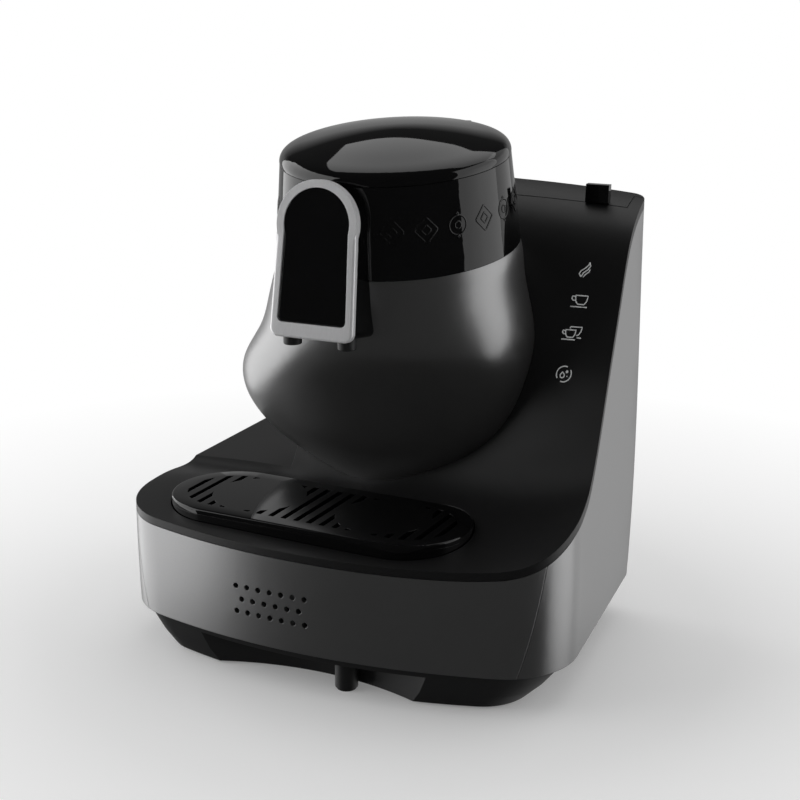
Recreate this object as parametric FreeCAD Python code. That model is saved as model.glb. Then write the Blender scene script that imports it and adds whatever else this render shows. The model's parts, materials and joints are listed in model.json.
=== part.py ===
import FreeCAD, Part
import math
import os

os.makedirs("parts", exist_ok=True)
V = FreeCAD.Vector

# Electric Turkish coffee maker, millimetres, +Z up, front towards -Y.
# Figures below are in the machine's own frame; the export step moves
# everything by SHIFT_Y and SHIFT_Z, so that the footprint is centred on the
# origin and the feet stand on Z = 0.
SHIFT_Y = 8.5
SHIFT_Z = 4.0

# Housing plan outline
HALF_WIDTH = 130.0
FRONT_Y = -114.85
FRONT_RADIUS = 381.0
CORNER_RADIUS = 43.0
SIDE_TAPER = math.radians(-3.73)
BACK_CORNER = 9.0
BACK_Y0 = 71.0
BACK_LEAN = 0.105
SKIN = 3.0

# Housing levels
FOOT_Z = -4.0
PAN_BOTTOM_Z = -2.5
FASCIA_BOTTOM_Z = 19.0
BODY_TOP_Z = 262.0
EDGE_DROP = 4.5
EDGE_BACK = 0.5
DECK_SKIN = 2.6
SEAM_GAP = 0.3
CORNER_SEAM_Y = -84.5
CORNER_SEAM_Z = 90.0
CORNER_SEAM_LEAN = 0.157
UPPER_LEFT_X = -66.0
LEFT_DECK_Z = 84.5

# Tower, drawn round its own axis; TOWER_X moves it into place
TOWER_X = 3.0
TOWER_TILT = 0.135
SEAM_LID = (0.0, -5.5, 275.7, 64.3)
SEAM_BAND = (0.0, -1.4, 226.9, 69.0)
WALL = 2.6

# Spout
SPOUT_X = -9.7
SPOUT_HALF = 24.2
SPOUT_BOTTOM = (-94.0, 189.8)
SPOUT_TOP = (-81.0, 272.3)
NOZZLE_PITCH = 32.2
NOZZLE_R = 5.0
NOZZLE_Y = -82.5
NOZZLE_Z = 183.5

# Drip tray
TRAY_X = -18.0
TRAY_Y = -64.0
TRAY_HALF_L = 92.0
TRAY_HALF_D = 35.0
TRAY_TURN = -3.0
TRAY_FLOOR_Z = 67.0
PAN_TOP_Z = 82.5
TRAY_TOP_Z = 85.5
SLOT_PITCH = 8.0
SLOT_W = 3.4
CUP_DISC_R = 27.0
CUP_DISC_X = 40.0

# Water tank
TANK_FLOOR_Z = 163.3
TANK_DEPTH = 19.5
TANK_WALL = 2.0
TANK_LEFT_X = -60.0
TANK_LID_H = 7.0
TANK_GAP = 0.4

PARTS = {}


def add(name, shape):
    PARTS[name] = shape


def back_y(z):
    return BACK_Y0 + BACK_LEAN * z


def arc3(a, b, c):
    return Part.Arc(V(*a), V(*b), V(*c)).toShape()


def outline_wire(z, wall=0.0, draft=0.0):
    """Closed plan outline of the housing at height z; draft leaves the back alone."""
    off = wall + draft
    rf = FRONT_RADIUS + off
    rc = CORNER_RADIUS + off
    yc = FRONT_Y + FRONT_RADIUS
    c, s = math.cos(SIDE_TAPER), math.sin(SIDE_TAPER)
    k = HALF_WIDTH * c - CORNER_RADIUS
    qa = (s / c) ** 2 + 1
    qb = 2 * k * s / c ** 2 - 2 * yc
    qc = (k / c) ** 2 + yc ** 2 - (FRONT_RADIUS - CORNER_RADIUS) ** 2
    cy = (-qb - math.sqrt(qb * qb - 4 * qa * qc)) / (2 * qa)
    cx = (k + cy * s) / c
    a1 = math.atan2(cx, yc - cy)
    yb = back_y(z) + wall
    # side line: x*c - y*s = HALF_WIDTH*c + off
    rb = BACK_CORNER
    yk = yb - rb
    xk = (HALF_WIDTH * c + off - rb + yk * s) / c
    p_front = (rf * math.sin(a1), yc - rf * math.cos(a1))
    e_corner = (cx + rc * c, cy - rc * s)
    am = (a1 + math.pi / 2 + SIDE_TAPER) / 2
    m_corner = (cx + rc * math.sin(am), cy - rc * math.cos(am))
    e_side = (xk + rb * c, yk - rb * s)
    m_back = (xk + rb * math.cos(math.pi / 4), yk + rb * math.sin(math.pi / 4))
    e_back = (xk, yb)
    f_mid = (0.0, yc - rf)

    def p(q, m=1):
        return (m * q[0], q[1], z)

    edges = [
        arc3(p(p_front, -1), p(f_mid), p(p_front)),
        arc3(p(p_front), p(m_corner), p(e_corner)),
        Part.makeLine(V(*p(e_corner)), V(*p(e_side))),
        arc3(p(e_side), p(m_back), p(e_back)),
        Part.makeLine(V(*p(e_back)), V(*p(e_back, -1))),
        arc3(p(e_back, -1), p(m_back, -1), p(e_side, -1)),
        Part.makeLine(V(*p(e_side, -1)), V(*p(e_corner, -1))),
        arc3(p(e_corner, -1), p(m_corner, -1), p(p_front, -1)),
    ]
    return Part.Wire(edges)


def body(off=0.0, z0=FASCIA_BOTTOM_Z, z1=BODY_TOP_Z):
    """Drafted housing volume; off moves every wall outwards."""
    levels = ((z0, -0.6), (75.0, 0.0), (160.0, -1.9), (z1, -4.6))
    wires = [outline_wire(z, off, d) for z, d in levels]
    return Part.makeLoft(wires, True, False)


def top_wire(x, pts):
    """One section of the space above deck and wall, in the plane X = x."""
    curve = Part.BSplineCurve()
    curve.interpolate([V(x, y, z) for y, z in pts])
    a, b = pts[0], pts[-1]
    up = 330.0
    edges = [
        curve.toShape(),
        Part.makeLine(V(x, b[0], b[1]), V(x, b[0], up)),
        Part.makeLine(V(x, b[0], up), V(x, a[0], up)),
        Part.makeLine(V(x, a[0], up), V(x, a[0], a[1])),
    ]
    return Part.Wire(edges)


# Side-view profiles of deck and back wall (y, z) at four stations across
PROFILE_RIM = ((-135, 79), (-112, 80), (-98, 86), (-84, 95), (-66, 106), (-50, 113), (-36, 125),
               (-18, 146), (2, 165), (25, 191), (44, 216), (60, 230.5), (78, 238.5), (125, 243))
PROFILE_RIGHT = ((-135, 76.5), (-112, 77), (-95, 78), (-72, 79.5), (-48, 83), (-28, 90), (-14, 103),
                 (0, 128), (8, 152), (27, 188), (43, 214), (57, 231), (75, 243), (125, 250))
PROFILE_MID = ((-135, 76.5), (-112, 77), (-90, 78), (-64, 79.5), (-34, 81.2), (-12, 84), (0, 96),
               (13, 122), (22, 150), (33, 184), (46, 212), (59, 231), (76, 244), (125, 251))


def top_cut(dy=0.0, dz=0.0):
    stations = ((-150.0, PROFILE_MID), (-20.0, PROFILE_MID), (62.0, PROFILE_RIGHT), (150.0, PROFILE_RIM))
    wires = [top_wire(x, [(y + dy, z + dz) for y, z in prof]) for x, prof in stations]
    return Part.makeLoft(wires, True, False)


def box(x0, x1, y0, y1, z0, z1):
    return Part.makeBox(x1 - x0, y1 - y0, z1 - z0, V(x0, y0, z0))


def cyl(r, h, x, y, z, d=(0, 0, 1)):
    return Part.makeCylinder(r, h, V(x, y, z), V(*d))


def left_cut(drop=0.0):
    """Everything above the low deck on the left of the tower."""
    tilt = 0.055
    y0, y1 = -150.0, 150.0
    z_of = lambda y: 84.0 + drop + (y - 0.0) * tilt * 0.45
    face = Part.Face(Part.makePolygon([
        V(-200, y0, z_of(y0)), V(-200, y1, z_of(y1)), V(-200, y1, 330), V(-200, y0, 330), V(-200, y0, z_of(y0))]))
    return face.extrude(V(200 + UPPER_LEFT_X, 0, 0))


def ring_wire(cx, cy, cz, rx, ry=None, tilt=0.0):
    """Circle or ellipse round the tower axis, plane rising by tilt towards the back."""
    ry = rx if ry is None else ry
    t = math.atan(tilt)
    pts = []
    n = 24
    for i in range(n):
        a = 2 * math.pi * i / n
        dy = ry * math.sin(a)
        pts.append(V(cx + rx * math.cos(a), cy + dy * math.cos(t), cz + dy * math.sin(t)))
    curve = Part.BSplineCurve()
    curve.interpolate(Points=pts, PeriodicFlag=True)
    return Part.Wire([curve.toShape()])


def disc_wire(cy, cz, r, tilt=TOWER_TILT):
    t = math.atan(tilt)
    return Part.Wire([Part.Circle(V(0, cy, cz), V(0, -math.sin(t), math.cos(t)), r).toShape()])


# Outer sections of the shroud: centre x, centre y, z, half width, half depth, plane tilt
SHROUD = (
    (0.0, -1.4, 226.9, 68.4, 68.4, TOWER_TILT),
    (-0.4, 0.3, 214.0, 71.0, 68.8, 0.12),
    (-2.0, 2.2, 201.0, 74.0, 68.9, 0.10),
    (-3.0, 4.5, 188.0, 77.7, 68.0, 0.08),
    (-5.0, 7.0, 175.0, 81.9, 66.0, 0.06),
    (-14.0, 11.5, 150.0, 89.5, 57.5, 0.03),
    (-17.0, 14.0, 126.0, 86.5, 49.5, 0.0),
    (-16.0, 16.0, 105.0, 70.5, 41.0, 0.0),
    (-12.0, 17.0, 88.0, 46.0, 30.0, 0.0),
    (-12.0, 17.0, 70.0, 38.0, 24.0, 0.0),
)


def shroud_solid(off=0.0, bottom=0):
    wires = [ring_wire(x, y, z, rx + off, ry + off, t) for x, y, z, rx, ry, t in SHROUD]
    return Part.makeLoft(wires, True, False)


def cone_between(lo, hi, off=0.0):
    wires = [disc_wire(lo[1], lo[2], lo[3] + off), disc_wire(hi[1], hi[2], hi[3] + off)]
    return Part.makeLoft(wires, True, True)


def leaned(shape, y, z):
    """Tip an upright piece so that it lies along the leaning back."""
    shape = shape.copy()
    shape.translate(V(0, y, z))
    shape.rotate(V(0, y, z), V(1, 0, 0), -math.degrees(math.atan(BACK_LEAN)))
    return shape


def back_slab(z0, z1, front, rear, x0=-300.0, x1=300.0):
    """Leaning slab between two distances ahead of the back face."""
    pts = [V(x0, back_y(z0) - front, z0), V(x0, back_y(z1) - front, z1),
           V(x0, back_y(z1) - rear, z1), V(x0, back_y(z0) - rear, z0), V(x0, back_y(z0) - front, z0)]
    return Part.Face(Part.makePolygon(pts)).extrude(V(x1 - x0, 0, 0))


def tube_path(pts, r):
    """Solid run of round bar through the given points."""
    out = None
    for i in range(len(pts) - 1):
        a, b = V(*pts[i]), V(*pts[i + 1])
        leg = Part.makeCylinder(r, (b - a).Length, a, b - a)
        out = leg if out is None else out.fuse(leg)
        if i:
            out = out.fuse(Part.makeSphere(r, a))
    return out.removeSplitter()


def stadium(hl, hd, z0, h, turn=TRAY_TURN, x=TRAY_X, y=TRAY_Y):
    """Plate with rounded ends, long axis across the machine."""
    s = hl - hd
    edges = [
        Part.makeLine(V(-s, -hd, 0), V(s, -hd, 0)),
        arc3((s, -hd, 0), (s + hd, 0, 0), (s, hd, 0)),
        Part.makeLine(V(s, hd, 0), V(-s, hd, 0)),
        arc3((-s, hd, 0), (-s - hd, 0, 0), (-s, -hd, 0)),
    ]
    f = Part.Face(Part.Wire(edges)).extrude(V(0, 0, h))
    f.rotate(V(0, 0, 0), V(0, 0, 1), turn)
    f.translate(V(x, y, z0))
    return f


def corner_split(front=True, gap=0.0):
    """Half-space in front of (or behind) the slanted corner seam."""
    def ys(z):
        return CORNER_SEAM_Y - (CORNER_SEAM_Z - z) * CORNER_SEAM_LEAN
    z0, z1 = -20.0, 330.0
    far = -260.0 if front else 260.0
    g = -gap / 2 if front else gap / 2
    pts = [V(-250, ys(z0) + g, z0), V(-250, ys(z1) + g, z1), V(-250, far, z1), V(-250, far, z0), V(-250, ys(z0) + g, z0)]
    return Part.Face(Part.makePolygon(pts)).extrude(V(500, 0, 0))


BODY = body()
BODY_IN = body(-SKIN)
CUT = top_cut()
CUT_SKIN = top_cut(DECK_SKIN * 0.8, -DECK_SKIN)
CUT_EDGE = top_cut(EDGE_BACK, -EDGE_DROP)
CUT_EDGE_GAP = top_cut(EDGE_BACK + 0.1, -EDGE_DROP - SEAM_GAP)
LEFT = left_cut()
LEFT_SKIN = left_cut(-DECK_SKIN)
LEFT_EDGE = left_cut(-EDGE_DROP)
LEFT_EDGE_GAP = left_cut(-EDGE_DROP - SEAM_GAP)
SHROUD_OUT = shroud_solid()
BAND_OUT = cone_between(SEAM_BAND, SEAM_LID)


def placed(shape):
    """A tower shape moved from its own axis into the machine."""
    shape = shape.copy()
    shape.translate(V(TOWER_X, 0, 0))
    return shape



# Cladding: one drafted ring, split into fascia and side panels
ring = BODY.cut(BODY_IN)
ring = ring.cut(CUT_EDGE_GAP).cut(LEFT_EDGE_GAP)
fascia = ring.common(corner_split(True, SEAM_GAP))
SPEAKER_X, SPEAKER_Z, SPEAKER_PITCH, SPEAKER_R = -23.5, 44.0, 7.2, 1.6
for row, count in ((1, 7), (0, 6), (-1, 7)):
    for i in range(count):
        hx = SPEAKER_X + (i - (count - 1) / 2) * SPEAKER_PITCH
        fascia = fascia.cut(cyl(SPEAKER_R, 30, hx, FRONT_Y - 10, SPEAKER_Z + row * 7.5, (0, 1, 0)))
add("front_fascia", fascia)

REAR_HALF = 108.0
TANK_ZONE = back_slab(TANK_FLOOR_Z - 0.3, 330.0, 5.5, -60.0)
sides = ring.common(corner_split(False, SEAM_GAP)).cut(TANK_ZONE)
panels = sides.cut(box(-REAR_HALF - SEAM_GAP, REAR_HALF + SEAM_GAP, 40, 200, 0, 330))
add("side_panel_right", panels.common(box(0, 200, -200, 200, 0, 330)))
add("side_panel_left", panels.common(box(-200, 0, -200, 200, 0, 330)))
rear = sides.common(box(-REAR_HALF, REAR_HALF, 40, 200, 0, 330))

# Deck and back wall: one black skin with a rolled outer edge
solid_top = BODY.cut(CUT).cut(LEFT)
solid_in = BODY.cut(CUT_SKIN).cut(LEFT_SKIN)
solid_edge = BODY.cut(CUT_EDGE).cut(LEFT_EDGE)
deck = solid_top.cut(solid_in)
edge = solid_top.cut(solid_edge).cut(body(-7.0))
deck = deck.fuse(edge)
cheek = solid_top.common(box(UPPER_LEFT_X, UPPER_LEFT_X + 2.6, -30, 200, LEFT_DECK_Z - 2.0, 330))
deck = deck.fuse(cheek)
TANK_SIDE_X = 113.0
TANK_SPACE = back_slab(TANK_FLOOR_Z - 4.0, 330.0, TANK_DEPTH + TANK_GAP, -60.0, TANK_LEFT_X - TANK_GAP, TANK_SIDE_X + TANK_GAP)
TANK_SPACE = TANK_SPACE.fuse(back_slab(TANK_FLOOR_Z - 4.0, 330.0, 5.5, -60.0, TANK_SIDE_X, 300.0))
deck = deck.cut(TANK_SPACE)
pocket = stadium(TRAY_HALF_L + 0.6, TRAY_HALF_D + 0.6, TRAY_FLOOR_Z, 60)
well = stadium(TRAY_HALF_L + 2.8, TRAY_HALF_D + 2.8, TRAY_FLOOR_Z - 2.0, 60).common(solid_in)
add("tray_well", well.cut(pocket))
deck = deck.cut(pocket)
rear = rear.cut(back_slab(TANK_FLOOR_Z - 3.0, 330.0, 60.0, -60.0))
deck = deck.cut(placed(SHROUD_OUT)).cut(placed(cone_between(SEAM_BAND, SEAM_LID, 0.2))).cut(rear)
deck = max(deck.Solids, key=lambda s: s.Volume)
add("deck_shell", deck)

# Base pan with undercut, crescent finger recess, bosses and feet
PAN_TOP_OFF = -2.5
PAN_NARROWING = 0.006


def pan_wire(z, inset, forward):
    """Housing outline drawn in by inset and slid forward, so that the front is undercut least."""
    w = outline_wire(z, -inset)
    w.translate(V(0, -forward, 0))
    narrower = FreeCAD.Matrix()
    narrower.scale(V(1.0 - inset * PAN_NARROWING, 1, 1))
    return w.transformGeometry(narrower)


def pan_solid(thick, low, high):
    levels = ((PAN_BOTTOM_Z + low, 14.0 + thick, 6.0), (5.0, 9.0 + thick, 3.5), (FASCIA_BOTTOM_Z + high, 2.5 + thick, 0.0))
    return Part.makeLoft([pan_wire(*lv) for lv in levels], True, True)


pan = pan_solid(0.0, 0.0, -0.3)
pan_in = pan_solid(2.5, 2.5, 1.0)
RECESS_X, RECESS_R, RECESS_Y = -6.0, 170.0, -260.0
RECESS_TOP = 15.0
recess = cyl(RECESS_R, RECESS_TOP - PAN_BOTTOM_Z + 1.0, RECESS_X, RECESS_Y, PAN_BOTTOM_Z - 1.0)
recess_wall = cyl(RECESS_R + 2.5, RECESS_TOP - PAN_BOTTOM_Z + 2.5, RECESS_X, RECESS_Y, PAN_BOTTOM_Z).common(pan_solid(0.0, 0.0, -0.3))
pan = pan.cut(pan_in).fuse(recess_wall).cut(recess)
BOSSES = ((-98, -52), (98, -52), (-98, 52), (98, 52))
for bx, by in BOSSES:
    pan = pan.fuse(cyl(5.0, 16.0, bx, by, PAN_BOTTOM_Z + 1.0))
    pan = pan.cut(cyl(4.05, 3.05, bx, by, PAN_BOTTOM_Z - 0.05))
    pan = pan.cut(cyl(1.65, 12.0, bx, by, PAN_BOTTOM_Z + 2.0))
BOARD = (-92.0, -32.0, -8.0, 44.0, 16.0)
for px in (BOARD[0] + 4, BOARD[1] - 4):
    for py in (BOARD[2] + 4, BOARD[3] - 4):
        pan = pan.fuse(cyl(2.5, BOARD[4] - PAN_BOTTOM_Z - 1.0, px, py, PAN_BOTTOM_Z + 1.0))
PUMP = (62.0, 22.0, 30.0, 16.0)
pan = pan.fuse(box(PUMP[0] - 12, PUMP[0] + 12, PUMP[1] - 18, PUMP[1] + 18, PAN_BOTTOM_Z + 1.0, PUMP[2]).cut(
    cyl(PUMP[3], 60, PUMP[0], PUMP[1] - 30, PUMP[2], (0, 1, 0))))
FEET = ((-80.0, -72.0), (15.0, -98.5), (94.0, -78.0), (-82.0, 61.0), (82.0, 61.0))
# The second front foot stands in the recess, on a pedestal of its own
PEDESTAL_R = 6.4
pan = pan.fuse(cyl(PEDESTAL_R, RECESS_TOP - PAN_BOTTOM_Z + 1.0, FEET[1][0], FEET[1][1], PAN_BOTTOM_Z).common(pan_solid(0.0, 0.0, -0.3)))
for fx, fy in FEET:
    pan = pan.cut(cyl(4.0, 1.0, fx, fy, PAN_BOTTOM_Z))
add("base_pan", pan.removeSplitter())
FOOT_H = PAN_BOTTOM_Z - FOOT_Z
feet = [cyl(5.6, FOOT_H, x, y, FOOT_Z).fuse(cyl(4.0, FOOT_H + 1.0, x, y, FOOT_Z)) for x, y in FEET]
feet = [f.makeFillet(0.6, [e for e in f.Edges if abs(e.BoundBox.ZMax - FOOT_Z) < 0.01]) for f in feet]
add("feet", Part.makeCompound(feet))
screws = [cyl(4.0, 2.4, x, y, PAN_BOTTOM_Z + 0.6).fuse(cyl(1.6, 11.0, x, y, PAN_BOTTOM_Z + 2.9)) for x, y in BOSSES]
screws = [s.cut(box(x - 2.5, x + 2.5, y - 0.5, y + 0.5, PAN_BOTTOM_Z, PAN_BOTTOM_Z + 1.6)) for s, (x, y) in zip(screws, BOSSES)]
add("base_screws", Part.makeCompound(screws))

# Tower: shroud, gloss band and collar
shroud_in = shroud_solid(-WALL)
SHROUD_FLOOR = 73.0
shroud = SHROUD_OUT.cut(shroud_in.cut(box(-200, 200, -200, 200, 60, SHROUD_FLOOR)))
REAR_FLAT_Y = 58.0
shroud = shroud.cut(box(-200, 200, REAR_FLAT_Y, 200, 0, 216))
SHROUD_TOP_GAP = 0.2
band_zone = Part.makeLoft([disc_wire(SEAM_BAND[1], SEAM_BAND[2] - SHROUD_TOP_GAP, 120.0),
                           disc_wire(SEAM_BAND[1] - 14, SEAM_BAND[2] + 100, 120.0)], True, True)
shroud = shroud.cut(band_zone)
BAND_IN = cone_between(SEAM_BAND, SEAM_LID, -WALL)
band = BAND_OUT.cut(BAND_IN)
COLLAR_Z = 254.0
POT_R = 49.0
collar = BAND_IN.common(box(-100, 100, -100, 100, COLLAR_Z, COLLAR_Z + 3.0))
collar = collar.cut(cyl(POT_R + 0.1, 20, 0, 0, COLLAR_Z - 8))

# Spout: arch outline in its own leaning plane (x, z), depth along y
SPOUT_TIP = -math.degrees(math.atan2(SPOUT_TOP[0] - SPOUT_BOTTOM[0], SPOUT_TOP[1] - SPOUT_BOTTOM[1]))
SPOUT_H = math.hypot(SPOUT_TOP[0] - SPOUT_BOTTOM[0], SPOUT_TOP[1] - SPOUT_BOTTOM[1])
FRAME_SIDE, FRAME_FOOT, FRAME_DEPTH, FACE_SET = 4.2, 8.0, 5.0, 0.7


def arch(inset, foot, y0, depth):
    """Arch with a flat foot, tipped back with the spout face."""
    w = SPOUT_HALF - inset
    wt = SPOUT_HALF - 1.4 - inset
    zb = foot
    zs = SPOUT_H - 27.0
    r = max(1.5, 5.0 - inset * 0.5)
    k = r * (1 - math.sqrt(0.5))
    top = SPOUT_H - inset
    edges = [
        Part.makeLine(V(-w + r, 0, zb), V(w - r, 0, zb)),
        arc3((w - r, 0, zb), (w - k, 0, zb + k), (w, 0, zb + r)),
        Part.makeLine(V(w, 0, zb + r), V(wt, 0, zs)),
        arc3((wt, 0, zs), (0, 0, top), (-wt, 0, zs)),
        Part.makeLine(V(-wt, 0, zs), V(-w, 0, zb + r)),
        arc3((-w, 0, zb + r), (-w + k, 0, zb + k), (-w + r, 0, zb)),
    ]
    s = Part.Face(Part.Wire(edges)).extrude(V(0, depth, 0))
    s.translate(V(0, y0, 0))
    s.rotate(V(0, 0, 0), V(1, 0, 0), SPOUT_TIP)
    s.translate(V(SPOUT_X, SPOUT_BOTTOM[0], SPOUT_BOTTOM[1]))
    return s


frame = arch(0, 0, 0, FRAME_DEPTH)
front_edges = [e for e in frame.Faces[0].Edges]
best = min(frame.Faces, key=lambda f: f.CenterOfMass.y)
frame = frame.makeFillet(1.4, best.Edges)
frame = frame.cut(arch(FRAME_SIDE, FRAME_FOOT, -2, 30))
add("spout_frame", frame)
face = arch(FRAME_SIDE + 0.05, FRAME_FOOT + 0.05, FACE_SET, FRAME_DEPTH - FACE_SET)
best = min(face.Faces, key=lambda f: f.CenterOfMass.y)
add("spout_face", face.makeFillet(1.0, best.Edges))
shell = arch(1.2, 1.2, FRAME_DEPTH, 60.0)
hollow = arch(3.8, 5.2, FRAME_DEPTH - 1.0, 60.0)
tower_solid = SHROUD_OUT.fuse(BAND_OUT)
LID_ROOM = cyl(SEAM_LID[3] + 0.5, 40, 0, 0, -0.3)
LID_ROOM.rotate(V(0, 0, 0), V(1, 0, 0), math.degrees(math.atan(TOWER_TILT)))
LID_ROOM.translate(V(0, SEAM_LID[1], SEAM_LID[2]))
spout = shell.cut(hollow).cut(tower_solid).cut(LID_ROOM)
spout = max(spout.Solids, key=lambda s: s.Volume)
NOZZLE_X = (SPOUT_X - NOZZLE_PITCH / 2, SPOUT_X + NOZZLE_PITCH / 2)
MANIFOLD = (SPOUT_BOTTOM[1] + 5.2, SPOUT_BOTTOM[1] + 11.6)
for nx in NOZZLE_X:
    spout = spout.cut(cyl(NOZZLE_R + 0.05, 20, nx, NOZZLE_Y, NOZZLE_Z - 5))
add("spout_body", spout)
MANIFOLD_Y = (NOZZLE_Y - 3.2, NOZZLE_Y + 6.5)
manifold = box(SPOUT_X - 19.5, SPOUT_X + 19.5, MANIFOLD_Y[0], MANIFOLD_Y[1], MANIFOLD[0], MANIFOLD[1])
for nx in NOZZLE_X:
    tip = cyl(NOZZLE_R, MANIFOLD[0] - NOZZLE_Z + 1, nx, NOZZLE_Y, NOZZLE_Z)
    tip = tip.makeFillet(0.8, [e for e in tip.Edges if abs(e.BoundBox.ZMax - NOZZLE_Z) < 0.01])
    manifold = manifold.fuse(tip)
for nx in NOZZLE_X:
    manifold = manifold.cut(cyl(3.2, MANIFOLD[1] - NOZZLE_Z - 1.5, nx, NOZZLE_Y, NOZZLE_Z - 0.1))
DUCT_Z = MANIFOLD[0] + 3.2
manifold = manifold.cut(box(NOZZLE_X[0], NOZZLE_X[1], NOZZLE_Y - 1.5, NOZZLE_Y + 1.5, DUCT_Z - 1.6, DUCT_Z + 1.6))
DUCT_R, DUCT_BORE = 5.0, 3.4
manifold = manifold.cut(cyl(2.2, 20, SPOUT_X, NOZZLE_Y, DUCT_Z, (0, 1, 0)))
add("spout_nozzles", manifold.removeSplitter())

# Brewing chamber: steel pot hung in the collar, with heater, sensor and outlet
POT_FLOOR, POT_TOP, POT_WALL, RIM_R = 182.0, 258.4, 1.2, 52.0
pot = cyl(POT_R, POT_TOP - POT_FLOOR, 0, 0, POT_FLOOR)
pot = pot.makeFillet(6.0, [e for e in pot.Edges if abs(e.BoundBox.ZMax - POT_FLOOR) < 0.01])
pot = pot.fuse(cyl(RIM_R, POT_TOP - COLLAR_Z - 3.0, 0, 0, COLLAR_Z + 3.0))
inner = cyl(POT_R - POT_WALL, POT_TOP - POT_FLOOR, 0, 0, POT_FLOOR + POT_WALL)
inner = inner.makeFillet(5.0, [e for e in inner.Edges if abs(e.BoundBox.ZMax - POT_FLOOR - POT_WALL) < 0.01])
pot = pot.cut(inner).cut(cyl(DUCT_BORE, 60, SPOUT_X, -80, DUCT_Z, (0, 1, 0)))
add("brew_chamber", pot)
duct_end = -math.sqrt(POT_R ** 2 - SPOUT_X ** 2) + 0.8
duct = cyl(DUCT_R, duct_end - MANIFOLD_Y[1], SPOUT_X, MANIFOLD_Y[1], DUCT_Z, (0, 1, 0))
duct = duct.cut(cyl(DUCT_BORE, 60, SPOUT_X, -100, DUCT_Z, (0, 1, 0))).cut(cyl(POT_R, 100, 0, 0, 170))
add("outlet_duct", duct)
shroud = shroud.cut(cyl(DUCT_R + 0.05, 60, SPOUT_X, -120, DUCT_Z, (0, 1, 0)))
spout = PARTS["spout_body"].cut(cyl(DUCT_R + 0.05, 40, SPOUT_X, MANIFOLD_Y[1], DUCT_Z, (0, 1, 0)))
add("spout_body", spout)
add("tower_shroud", shroud)
COIL_R = 10.5
coil = cyl(COIL_R, 9.0, SPOUT_X, -60.5, DUCT_Z, (0, 1, 0)).cut(cyl(DUCT_R, 20, SPOUT_X, -66, DUCT_Z, (0, 1, 0)))
add("valve_coil", coil)
VALVE_HEAD_R = 4.6
VALVE_HEAD_Y = -math.sqrt((POT_R - POT_WALL) ** 2 - (abs(SPOUT_X) + VALVE_HEAD_R) ** 2) + 0.05
VALVE_STEM_R = 1.3
valve = cyl(VALVE_HEAD_R, 2.0, SPOUT_X, VALVE_HEAD_Y, DUCT_Z, (0, 1, 0))
valve = valve.fuse(cyl(VALVE_STEM_R, 22.0, SPOUT_X, VALVE_HEAD_Y - 22.0, DUCT_Z, (0, 1, 0)))
valve = valve.fuse(cyl(2.9, 1.4, SPOUT_X, VALVE_HEAD_Y - 22.0, DUCT_Z, (0, 1, 0)))
add("outlet_valve", valve.removeSplitter())
coilwire = Part.makeHelix(2.2, 11.0, 2.1)
wire_profile = Part.Wire([Part.Circle(V(2.1, 0, 0), V(0, 1, 0), 0.35).toShape()])
spring = Part.Wire(coilwire).makePipeShell([wire_profile], True, True)
spring.rotate(V(0, 0, 0), V(1, 0, 0), -90)
spring.translate(V(SPOUT_X, VALVE_HEAD_Y - 20.24, DUCT_Z))
add("valve_spring", spring)
HEATER_H = 7.0
heater = cyl(42.0, HEATER_H, 0, 0, POT_FLOOR - HEATER_H)
heater = heater.fuse(cyl(36.0, 3.0, 0, 0, POT_FLOOR - HEATER_H - 2.5)).cut(cyl(28.0, 6.0, 0, 0, POT_FLOOR - HEATER_H - 4.0))
heater = heater.cut(cyl(4.0, 20, 14, 8, POT_FLOOR - 12))
add("heater_plate", heater.removeSplitter())
add("temperature_sensor", cyl(4.0, 14.0, 14, 8, POT_FLOOR - 14.0).fuse(cyl(6.0, 4.0, 14, 8, POT_FLOOR - 14.0)).removeSplitter())
stand_z = POT_FLOOR - HEATER_H - 2.5
stand = cyl(46.0, 2.0, 0, 0, stand_z - 2.0).cut(cyl(6.3, 10, 14, 8, stand_z - 4.0))
for lx, ly in ((-29, 12), (17, 20), (-7, 32), (-7, 2)):
    stand = stand.fuse(cyl(3.0, stand_z - 1.0 - SHROUD_FLOOR, lx, ly, SHROUD_FLOOR))
add("chamber_stand", stand.removeSplitter())
HOLD_BACK = box(-200, 200, REAR_FLAT_Y - WALL, REAR_FLAT_Y, 73.5, 215.5).common(shroud_solid(-WALL))
add("tower_back", HOLD_BACK)

# Collar, band, lid, hinge
LID_TILT = math.degrees(math.atan(TOWER_TILT))
HINGE_Y, HINGE_Z, HINGE_R = 61.6, 285.0, 1.5
EAR_X, EAR_W, EAR_R = 13.0, 5.0, 3.6


def lid_profile(rows):
    pts = [V(r, 0, h) for r, h in rows]
    return pts


OUTER = ((64.3, 0.3), (64.2, 2.4), (62.8, 5.0), (59.0, 7.2), (51.5, 9.2), (40.0, 11.7), (27.0, 13.9), (12.5, 15.5), (0.0, 16.0))
INNER = ((0.0, 13.4), (12.5, 12.9), (27.0, 11.3), (40.0, 9.1), (51.5, 6.6), (57.8, 4.7), (60.7, 3.0), (61.7, 0.3))


def dome(outer, inner):
    co = Part.BSplineCurve()
    co.interpolate([V(r, 0, h) for r, h in outer])
    ci = Part.BSplineCurve()
    ci.interpolate([V(r, 0, h) for r, h in inner])
    w = Part.Wire([co.toShape(), Part.makeLine(V(0, 0, outer[-1][1]), V(0, 0, inner[0][1])), ci.toShape(),
                   Part.makeLine(V(inner[-1][0], 0, inner[-1][1]), V(outer[0][0], 0, outer[0][1]))])
    return Part.Face(w).revolve(V(0, 0, 0), V(0, 0, 1), 360)


def on_lid(shape):
    shape = shape.copy()
    shape.rotate(V(0, 0, 0), V(1, 0, 0), LID_TILT)
    shape.translate(V(0, SEAM_LID[1], SEAM_LID[2]))
    return shape


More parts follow.
